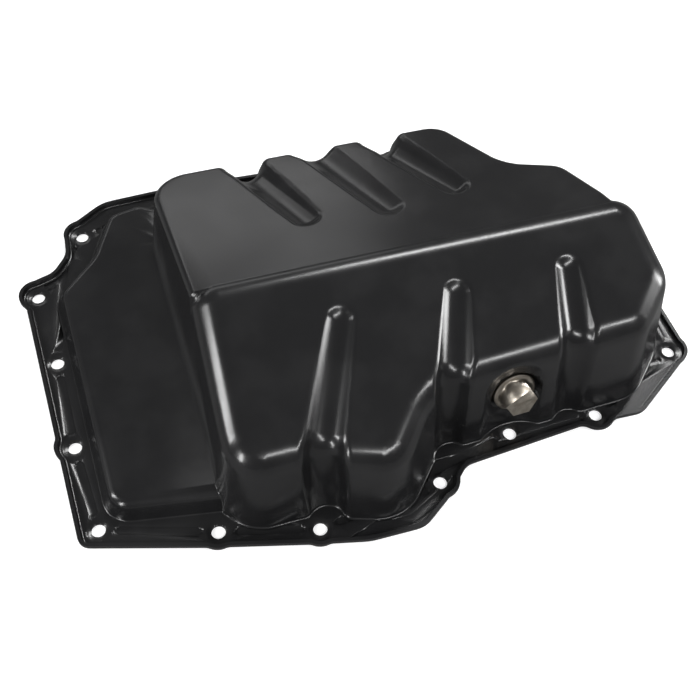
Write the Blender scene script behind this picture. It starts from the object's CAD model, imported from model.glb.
# %% [markdown]
# # An engine oil pan in black coated steel
#
# The pan is drawn from one sheet of steel and dipped in black coating, and a hexagonal plug closes
# the drain in its front wall. The solids come from the CAD model. This lesson gives them smooth
# shading, a thread, small pressed details, finishes, and the light and camera of a product shot.

# %% Load the solids
from math import cos, radians, sin

import bmesh
import bpy
from mathutils import Matrix, Vector


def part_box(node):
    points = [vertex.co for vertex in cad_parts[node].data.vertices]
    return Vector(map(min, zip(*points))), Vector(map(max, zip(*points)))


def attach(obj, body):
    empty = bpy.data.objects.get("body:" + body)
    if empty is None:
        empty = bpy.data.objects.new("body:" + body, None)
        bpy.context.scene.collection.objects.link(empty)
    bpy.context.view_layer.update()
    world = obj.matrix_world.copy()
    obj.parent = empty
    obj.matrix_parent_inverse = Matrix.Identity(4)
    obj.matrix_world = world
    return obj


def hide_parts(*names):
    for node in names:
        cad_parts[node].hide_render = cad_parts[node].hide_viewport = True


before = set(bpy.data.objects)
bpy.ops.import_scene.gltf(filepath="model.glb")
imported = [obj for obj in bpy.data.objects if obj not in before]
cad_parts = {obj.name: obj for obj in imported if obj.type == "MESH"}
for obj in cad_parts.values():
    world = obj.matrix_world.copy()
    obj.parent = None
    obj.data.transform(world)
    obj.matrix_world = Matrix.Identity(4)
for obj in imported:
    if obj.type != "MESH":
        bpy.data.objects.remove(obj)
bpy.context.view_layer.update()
print("solids:", sorted(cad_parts))

# %% [markdown]
# ## Writing shader maths as plain expressions
#
# A finish is a small calculation on a position: clouds, grain and rings, mixed into a colour and a
# roughness. Nodes for each sum and product are dull to place by hand, so a class wraps a socket and
# overloads the operators. `1 - mask * 0.4` then adds its own Math nodes.


# %% A socket that can be added, multiplied and mixed
class Shade:
    """One output socket of a material, with the arithmetic that the finishes need."""

    def __init__(self, tree, socket):
        self.tree, self.socket = tree, socket

    def node(self, kind, settings=None, output=0, **sockets):
        """Adds a node: its settings are set first, then the values or links of its sockets."""
        made = self.tree.nodes.new(kind)
        for name, value in (settings or {}).items():
            setattr(made, name, value)
        for name, value in sockets.items():
            numbered = name[0] == "i" and name[1:].isdigit()
            entry = made.inputs[int(name[1:]) if numbered else name]
            if isinstance(value, Shade):
                self.tree.links.new(value.socket, entry)
            else:
                entry.default_value = value
        return Shade(self.tree, made.outputs[output])

    def math(self, operation, other=0.0, third=0.0):
        return self.node("ShaderNodeMath", {"operation": operation}, i0=self, i1=other, i2=third)

    def __add__(self, other):
        return self.math("ADD", other)

    def __sub__(self, other):
        return self.math("SUBTRACT", other)

    def __mul__(self, other):
        return self.math("MULTIPLY", other)

    def __rsub__(self, other):
        return (self * -1.0) + other

    __radd__, __rmul__ = __add__, __mul__

    def band(self, low, high, to_low=0.0, to_high=1.0):
        """Rescales a range of values smoothly, and holds it outside that range."""
        return self.node("ShaderNodeMapRange", {"interpolation_type": "SMOOTHSTEP"},
                         i0=self, i1=low, i2=high, i3=to_low, i4=to_high)

    def noise(self, scale, detail=2.0, roughness=0.5):
        return self.node("ShaderNodeTexNoise", {"noise_dimensions": "3D"}, i0=self,
                         Scale=scale, Detail=detail, Roughness=roughness)

    def colours(self, first, second):
        """A colour between two others, where this value is the share of the second."""
        mix = self.tree.nodes.new("ShaderNodeMix")
        mix.data_type = "RGBA"
        self.tree.links.new(self.socket, mix.inputs[0])
        for entry, colour in ((mix.inputs[6], first), (mix.inputs[7], second)):
            if isinstance(colour, Shade):
                self.tree.links.new(colour.socket, entry)
            else:
                entry.default_value = (*colour, 1.0)
        return Shade(self.tree, mix.outputs[2])

    def into(self, entry):
        self.tree.links.new(self.socket, entry)


def new_finish(name, **fixed):
    """A material with its shader, the object's coordinates and its constant values."""
    finish = bpy.data.materials.new(name)
    finish.use_nodes = True
    tree = finish.node_tree
    shader = tree.nodes["Principled BSDF"]
    for socket, value in fixed.items():
        shader.inputs[socket.replace("_", " ")].default_value = value
    place = tree.nodes.new("ShaderNodeTexCoord")
    return finish, shader, Shade(tree, place.outputs["Object"])


print("shader helper ready")

# %% [markdown]
# ## The black coating
#
# Dipped and baked coating is satin, not mirror smooth: it follows the drawn steel under it, with a
# faint orange peel, long soft waves and a few cloudy patches where it dried duller. The waves are
# bump, the patches change the roughness, and the colour stays nearly black everywhere.

# %% Satin black coating on drawn steel
coating, shader, at = new_finish("black_coating", Metallic=0.0, Coat_Weight=0.0)
clouds = at.noise(38.0, 3.0, 0.55)
grain = at.noise(900.0, 2.0, 0.6)
peel = at.noise(420.0, 1.0, 0.5)
waves = at.noise(24.0, 1.0, 0.4)
dull = clouds.band(0.38, 0.68)
(dull * 0.03 + grain * 0.04 + 0.205).into(shader.inputs["Roughness"])
dull.colours((0.0085, 0.0085, 0.0090), (0.0110, 0.0110, 0.0115)).into(shader.inputs["Base Color"])
relief = waves * 0.00014 + peel * 0.000012 + grain * 0.000004
relief.node("ShaderNodeBump", i0=0.5, i1=1.0, Height=relief).into(shader.inputs["Normal"])
print("finish:", coating.name)

# %% [markdown]
# ## Metals of the drain plug
#
# The plug is plain steel that was turned and then forged into its hexagon, so its faces carry fine
# rings about its axis and a warm, slightly stained grey. The washer is soft brass. Their axis leans
# back by 15 degrees, so a Mapping node turns the pattern onto it.

# %% The drain's place in the model
plug_lean = radians(15)
plug_axis = Vector((0, -cos(plug_lean), sin(plug_lean)))
plug_seat = Vector((0.213, -0.0015, 0.027))
to_drain = Matrix.Translation(plug_seat) @ plug_axis.to_track_quat("Z", "Y").to_matrix().to_4x4()
from_drain = to_drain.inverted()
low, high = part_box("drain_plug")
print("plug from", [round(1000 * v, 1) for v in low],
      "to", [round(1000 * v, 1) for v in high], "mm")


def turned_rings(at, pitch):
    """Rings about the plug's axis, as a cutting tool leaves them."""
    turn = from_drain.to_euler("XYZ")
    shift = from_drain.to_translation()
    along = at.node("ShaderNodeMapping", {"vector_type": "POINT"},
                    Vector=at, Location=shift, Rotation=turn)
    return along.node("ShaderNodeTexWave", {"wave_type": "RINGS", "rings_direction": "Z"}, i0=along,
                      Scale=0.05 / pitch, Distortion=1.2, Detail=2.0)


# %% Steel of the plug
steel, shader, at = new_finish("plug_steel", Metallic=1.0)
stain = at.noise(260.0, 4.0, 0.6).band(0.35, 0.7)
rings = turned_rings(at, 0.0006)
scuff = at.noise(1800.0, 3.0, 0.7)
(stain * 0.12 + scuff * 0.1 + 0.26).into(shader.inputs["Roughness"])
stain.colours((0.50, 0.46, 0.40), (0.34, 0.30, 0.25)).into(shader.inputs["Base Color"])
relief = rings * 0.00002 + scuff * 0.00002
relief.node("ShaderNodeBump", i0=0.6, i1=1.0, Height=relief).into(shader.inputs["Normal"])
print("finish:", steel.name)

# %% Brass of the washer
brass, shader, at = new_finish("washer_brass", Metallic=1.0)
tarnish = at.noise(320.0, 3.0, 0.6).band(0.4, 0.7)
(tarnish * 0.18 + 0.27).into(shader.inputs["Roughness"])
tarnish.colours((0.70, 0.50, 0.20), (0.42, 0.28, 0.11)).into(shader.inputs["Base Color"])
relief = at.noise(1500.0, 2.0, 0.6) * 0.00002
relief.node("ShaderNodeBump", i0=0.5, i1=1.0, Height=relief).into(shader.inputs["Normal"])
print("finish:", brass.name)

# %% [markdown]
# ## Smooth shading on the pressed sheet
#
# The CAD solids arrive as loose flat triangles. Drawn sheet has no facets: light runs round its
# bends. A merged copy shades smoothly except over the few real edges, and a Weighted Normal
# modifier lets the large faces stay flat right up to the bends.


# %% A smooth copy of a solid
def smooth_copy(node, name, body, finish, sharp_over=38):
    """The node's own shape, merged and smooth-shaded, riding on its body in the node's place."""
    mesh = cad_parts[node].data.copy()
    mesh.name = name
    build = bmesh.new()
    build.from_mesh(mesh)
    bmesh.ops.remove_doubles(build, verts=build.verts, dist=2e-6)
    bmesh.ops.dissolve_degenerate(build, edges=build.edges, dist=1e-7)
    build.to_mesh(mesh)
    build.free()
    mesh.materials.clear()
    mesh.materials.append(finish)
    for face in mesh.polygons:
        face.use_smooth = True
        face.material_index = 0
    mesh.set_sharp_from_angle(angle=radians(sharp_over))
    piece = bpy.data.objects.new(name, mesh)
    bpy.context.scene.collection.objects.link(piece)
    weighted = piece.modifiers.new("flat faces stay flat", "WEIGHTED_NORMAL")
    weighted.keep_sharp = True
    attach(piece, body)
    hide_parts(node)
    print(name, "has", len(mesh.vertices), "points and", len(mesh.polygons), "faces")
    return piece


smooth_copy("oil_pan", "pressed_pan", "pan", coating)
smooth_copy("drain_nut", "welded_nut", "pan", coating)
smooth_copy("drain_plug_gasket", "brass_washer", "washer", brass)
plug = smooth_copy("drain_plug", "plug_body", "plug", steel, 25)

# %% [markdown]
# ## The plug's thread
#
# The CAD shank is a plain cylinder. On the real plug an M14 x 1.5 right-hand thread is rolled into
# it, so the shank of the copy shrinks to the thread's core, and Geometry Nodes winds a ridge round
# it: a spiral swept by a blunt triangle. The ridge stops short of the head, where the thread runs
# out.


# %% Slim the shank down to the core of the thread
# Heights are measured from the pan's seat along the plug's axis, in metres
major_radius, pitch, core_depth = 0.0070, 0.0015, 0.00086
shank_top = 0.0015
below_flange = shank_top - 0.0002
inside_shank = 0.004
for point in plug.data.vertices:
    local = from_drain @ point.co
    spread = local.xy.length
    if local.z < below_flange and spread > inside_shank:
        slim = (spread - core_depth) / spread
        point.co = to_drain @ Vector((local.x * slim, local.y * slim, local.z))
plug.data.update()
print("shank core in mm:", round(2000 * (major_radius - core_depth), 2))


# %% A ridge wound by Geometry Nodes
# Half widths of the ridge at its foot and crest, as shares of the pitch, and how far its foot is
# sunk into the core, as a share of its height
foot_share, crest_share, sunk_share = 0.46, 0.07, 0.15
points_per_turn = 40


def thread_nodes():
    """A node group that winds a blunt ridge round +Z, for a core, height, pitch and turns."""
    group = bpy.data.node_groups.new("wound_thread", "GeometryNodeTree")
    group.interface.new_socket("Geometry", in_out="OUTPUT", socket_type="NodeSocketGeometry")
    for name in ("Core radius", "Ridge height", "Pitch", "Turns"):
        group.interface.new_socket(name, in_out="INPUT", socket_type="NodeSocketFloat")
    group.interface.new_socket("Finish", in_out="INPUT", socket_type="NodeSocketMaterial")
    entry, leave = group.nodes.new("NodeGroupInput"), group.nodes.new("NodeGroupOutput")

    def feed(socket, value):
        if isinstance(value, (float, bool)):
            socket.default_value = value
        else:
            group.links.new(value, socket)

    def math(operation, first, second):
        node = group.nodes.new("ShaderNodeMath")
        node.operation = operation
        feed(node.inputs[0], first)
        feed(node.inputs[1], second)
        return node.outputs[0]

    core, height = entry.outputs["Core radius"], entry.outputs["Ridge height"]
    rise, turns = entry.outputs["Pitch"], entry.outputs["Turns"]
    sunk_radius = math("SUBTRACT", core, math("MULTIPLY", height, sunk_share))
    spiral = group.nodes.new("GeometryNodeCurveSpiral")
    spiral.inputs["Resolution"].default_value = points_per_turn
    for name, value in (("Reverse", True), ("Rotations", turns), ("Start Radius", sunk_radius),
                        ("End Radius", sunk_radius), ("Height", math("MULTIPLY", rise, turns))):
        feed(spiral.inputs[name], value)
    upright = group.nodes.new("GeometryNodeSetCurveNormal")
    upright.mode = "Z_UP"
    feed(upright.inputs["Curve"], spiral.outputs["Curve"])
    ridge = group.nodes.new("GeometryNodeCurvePrimitiveQuadrilateral")
    ridge.mode = "POINTS"
    tip = math("MULTIPLY", height, 1.0 + sunk_share)
    foot, crest = math("MULTIPLY", rise, foot_share), math("MULTIPLY", rise, crest_share)
    under_foot, under_crest = math("MULTIPLY", foot, -1.0), math("MULTIPLY", crest, -1.0)
    corners = ((0.0, foot), (tip, crest), (tip, under_crest), (0.0, under_foot))
    for number, (x, y) in enumerate(corners, 1):
        spot = group.nodes.new("ShaderNodeCombineXYZ")
        feed(spot.inputs["X"], x)
        feed(spot.inputs["Y"], y)
        feed(ridge.inputs[f"Point {number}"], spot.outputs[0])
    sweep = group.nodes.new("GeometryNodeCurveToMesh")
    real = group.nodes.new("GeometryNodeRealizeInstances")
    finish = group.nodes.new("GeometryNodeSetMaterial")
    feed(sweep.inputs["Fill Caps"], True)
    feed(sweep.inputs["Curve"], upright.outputs["Curve"])
    feed(sweep.inputs["Profile Curve"], ridge.outputs["Curve"])
    feed(real.inputs["Geometry"], sweep.outputs["Mesh"])
    feed(finish.inputs["Geometry"], real.outputs["Geometry"])
    feed(finish.inputs["Material"], entry.outputs["Finish"])
    feed(leave.inputs["Geometry"], finish.outputs["Geometry"])
    return group


def wind(name, values, place):
    """Runs the thread group with named inputs, and bakes the result to a plain mesh at a place."""
    group = thread_nodes()
    holder = bpy.data.objects.new(name + "_holder", bpy.data.meshes.new(name + "_holder"))
    bpy.context.scene.collection.objects.link(holder)
    modifier = holder.modifiers.new("wound", "NODES")
    modifier.node_group = group
    for socket in group.interface.items_tree:
        if socket.in_out == "INPUT" and socket.name in values:
            modifier[socket.identifier] = values[socket.name]
    graph = bpy.context.evaluated_depsgraph_get()
    mesh = bpy.data.meshes.new_from_object(holder.evaluated_get(graph), depsgraph=graph)
    bpy.data.objects.remove(holder)
    mesh.name = name
    mesh.transform(place)
    build = bmesh.new()
    build.from_mesh(mesh)
    bmesh.ops.remove_doubles(build, verts=build.verts, dist=1e-7)
    bmesh.ops.recalc_face_normals(build, faces=build.faces)
    build.to_mesh(mesh)
    build.free()
    piece = bpy.data.objects.new(name, mesh)
    bpy.context.scene.collection.objects.link(piece)
    return piece


turns = 6.4
runout = 0.0022
start = Matrix.Translation((0, 0, shank_top - runout - turns * pitch))
thread = wind("plug_thread", {
    "Core radius": major_radius - core_depth,
    "Ridge height": core_depth,
    "Pitch": pitch,
    "Turns": turns,
    "Finish": steel,
}, to_drain @ start)
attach(thread, "plug")
wound = [from_drain @ point.co for point in thread.data.vertices]
heights = [point.z for point in wound]
print("thread:", len(thread.data.polygons), "faces, along the axis",
      round(1000 * min(heights), 2), "to", round(1000 * max(heights), 2),
      "mm, radius", round(1000 * max(point.xy.length for point in wound), 2))

# %% [markdown]
# ## The floor, the light and the camera
#
# The photograph is a cut-out product shot: white all round, with narrow softboxes that draw thin
# bright lines on the bends and leave the flats dark. Each softbox stands where one family of bends
# mirrors it into the camera: the crease, the roof's left and front edges, and the sides of the
# flutes. The camera stands where the flange's holes put it. The floor is white and holds a soft
# shadow, but is dark to mirrored rays, so that the walls stay black.

# %% Floor and white surroundings
bpy.ops.mesh.primitive_plane_add(size=8, location=(0, 0, -0.0003))
floor = bpy.context.object
floor.name = "studio_floor"
paper = bpy.data.materials.new("white_paper")
paper.use_nodes = True
tree = paper.node_tree
tree.nodes["Principled BSDF"].inputs["Roughness"].default_value = 0.9
rays = tree.nodes.new("ShaderNodeLightPath")
camera_ray = Shade(tree, rays.outputs["Is Camera Ray"])
mirrored = Shade(tree, rays.outputs["Is Glossy Ray"])
shader = tree.nodes["Principled BSDF"]
mirrored.colours((0.8, 0.8, 0.8), (0.16, 0.16, 0.16)).into(shader.inputs["Base Color"])
(camera_ray * 0.46).into(shader.inputs["Emission Strength"])
shader.inputs["Emission Color"].default_value = (1, 1, 1, 1)
floor.data.materials.append(paper)

world = bpy.data.worlds.new("studio")
world.use_nodes = True
bpy.context.scene.world = world
tree = world.node_tree
rays = tree.nodes.new("ShaderNodeLightPath")
seen = Shade(tree, rays.outputs["Is Camera Ray"])
mirrored = Shade(tree, rays.outputs["Is Glossy Ray"])
(seen * 0.75 - mirrored * 0.11 + 0.25).into(tree.nodes["Background"].inputs["Strength"])
tree.nodes["Background"].inputs["Color"].default_value = (1, 1, 1, 1)


# %% Softboxes
def softbox(name, place, aim, width, height, power):
    """A rectangular studio light at a place, facing a point of the pan."""
    light = bpy.data.lights.new(name, "AREA")
    light.shape, light.size, light.size_y, light.energy = "RECTANGLE", width, height, power
    lamp = bpy.data.objects.new(name, light)
    lamp.location = place
    lamp.rotation_euler = (Vector(aim) - Vector(place)).to_track_quat("-Z", "Y").to_euler()
    bpy.context.scene.collection.objects.link(lamp)


softbox("crease_light", (0.56, 0.62, 0.86), (0.2, 0.08, 0.07), 0.5, 0.10, 6)
softbox("back_light", (0.05, 1.1, 0.42), (0.16, 0.1, 0.05), 0.9, 0.12, 0.8)
softbox("left_light", (-0.72, 0.22, 0.56), (0.10, 0.04, 0.05), 0.14, 0.5, 5)
softbox("left_front_light", (-0.62, -0.42, 0.38), (0.14, 0.02, 0.05), 0.12, 0.4, 4)
softbox("over_camera_light", (0.42, -0.62, 0.80), (0.18, 0.0, 0.05), 0.8, 0.07, 6)
softbox("right_light", (1.0, -0.08, 0.28), (0.2, 0.02, 0.05), 0.14, 0.5, 5)
print("lights:", [light.name for light in bpy.data.lights])

# %% Camera at the photograph's place
image_width = 700
focal_pixels, centre_x, centre_y = 1050.567, 378.897, 356.569
right = Vector((0.939, -0.340, 0.053)).normalized()
ahead = Vector((0.231, 0.509, -0.829)).normalized()
up = right.cross(ahead).normalized()
ahead = up.cross(right).normalized()
eye = Vector((0.0311, -0.23629, 0.472665))
lens = bpy.data.cameras.new("camera")
lens.sensor_width = 36
lens.lens = 36 * focal_pixels / image_width
lens.shift_x = (image_width / 2 - centre_x) / image_width
lens.shift_y = (centre_y - image_width / 2) / image_width
lens.clip_start = 0.01
camera = bpy.data.objects.new("camera", lens)
camera.matrix_world = Matrix((
    (right.x, up.x, -ahead.x, eye.x),
    (right.y, up.y, -ahead.y, eye.y),
    (right.z, up.z, -ahead.z, eye.z),
    (0, 0, 0, 1),
))
bpy.context.scene.collection.objects.link(camera)
bpy.context.scene.camera = camera
bpy.context.scene.view_settings.view_transform = "Standard"
print("lens in mm:", round(lens.lens, 1))
